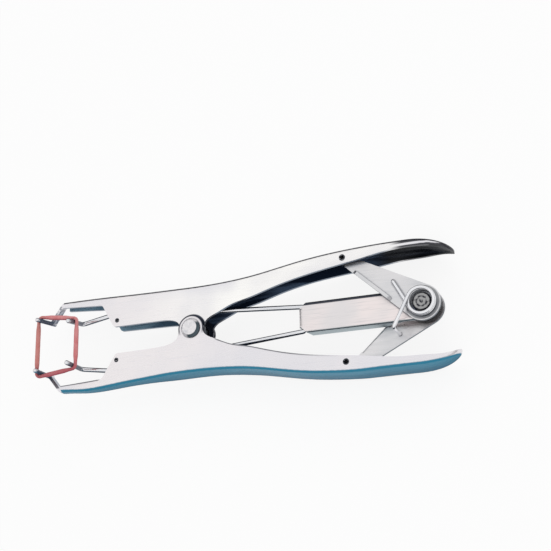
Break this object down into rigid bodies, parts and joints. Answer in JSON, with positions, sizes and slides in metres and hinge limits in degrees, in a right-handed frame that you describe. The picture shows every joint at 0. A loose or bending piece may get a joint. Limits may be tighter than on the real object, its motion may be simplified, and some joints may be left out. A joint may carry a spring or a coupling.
{
  "type": "castration band pliers",
  "caption": "Non-crossing pressed-steel pliers with a toggle drawbar whose four prongs stretch a rubber ring open as the handles are squeezed.",
  "frame": {"origin": "on the pivot axis, at the flat underside of the pivot rivet", "axes": "+X from the jaws to the handles, +Y towards the upper arm, +Z along the prongs, up as the tool lies on its side"},
  "size_m": [0.2095, 0.0588, 0.0259],
  "materials": {
    "plated_steel": "bright nickel plate, faint polishing marks",
    "brushed_plate": "brushed plate",
    "rod_steel": "plated wire",
    "link_steel": "plated pressing",
    "rivet_steel": "plated, machined",
    "pin_steel": "dark spring steel",
    "spring_steel": "bright spring wire",
    "red_rubber": "matt stretched rubber"
  },
  "bodies": {
    "lower_arm": {"lower_arm": "plated_steel", "lower_guide_pin": "pin_steel", "lower_handle_pin": "pin_steel"},
    "upper_arm": {"upper_arm": "plated_steel", "upper_guide_pin": "pin_steel", "upper_handle_pin": "pin_steel"},
    "centre": {"pivot_rivet": "rivet_steel", "pivot_spacer": "rivet_steel", "castration_ring": "red_rubber"},
    "drawbar": {"drawbar": "brushed_plate", "toggle_rivet": "rivet_steel", "toggle_spacer": "rivet_steel", "torsion_spring": "spring_steel"},
    "upper_rod": {"upper_prong_rod": "rod_steel"},
    "lower_rod": {"lower_prong_rod": "rod_steel"},
    "upper_link": {"upper_link": "link_steel"},
    "lower_link": {"lower_link": "link_steel"}
  },
  "joints": [
    {"name": "squeeze", "type": "hinge", "parent": "lower_arm", "child": "upper_arm", "pos_m": [0, 0, 0.0097], "axis": [0, 0, 1], "range_deg": [0, 16], "deforming": ["castration_ring"]},
    {"name": "rivet_turn", "type": "hinge", "parent": "lower_arm", "child": "centre", "pos_m": [0, 0, 0.0097], "axis": [0, 0, 1], "range_deg": [0, 8]},
    {"name": "drawbar_slide", "type": "slide", "parent": "centre", "child": "drawbar", "axis": [1, 0, 0], "range_m": [-0.01372, 0]},
    {"name": "upper_rod_swing", "type": "hinge", "parent": "drawbar", "child": "upper_rod", "pos_m": [0.055, 0.0032, 0.0097], "axis": [0, 0, 1], "range_deg": [0, 3.36]},
    {"name": "lower_rod_swing", "type": "hinge", "parent": "drawbar", "child": "lower_rod", "pos_m": [0.055, -0.0032, 0.0097], "axis": [0, 0, 1], "range_deg": [-3.36, 0]},
    {"name": "upper_link_swing", "type": "hinge", "parent": "upper_arm", "child": "upper_link", "pos_m": [0.076, 0.0248, 0.0097], "axis": [0, 0, 1], "range_deg": [-26.84, 0], "deforming": ["torsion_spring"]},
    {"name": "lower_link_swing", "type": "hinge", "parent": "lower_arm", "child": "lower_link", "pos_m": [0.076, -0.0248, 0.0097], "axis": [0, 0, 1], "range_deg": [0, 26.84]}
  ],
  "couplings": [
    {"joint": "rivet_turn", "follows": "squeeze", "ratio": 0.5},
    {"joint": "drawbar_slide", "follows": "squeeze", "m_per_rad": -0.049131},
    {"joint": "upper_rod_swing", "follows": "squeeze", "ratio": 0.21},
    {"joint": "lower_rod_swing", "follows": "squeeze", "ratio": -0.21},
    {"joint": "upper_link_swing", "follows": "squeeze", "ratio": -1.6778},
    {"joint": "lower_link_swing", "follows": "squeeze", "ratio": 1.6778}
  ]
}
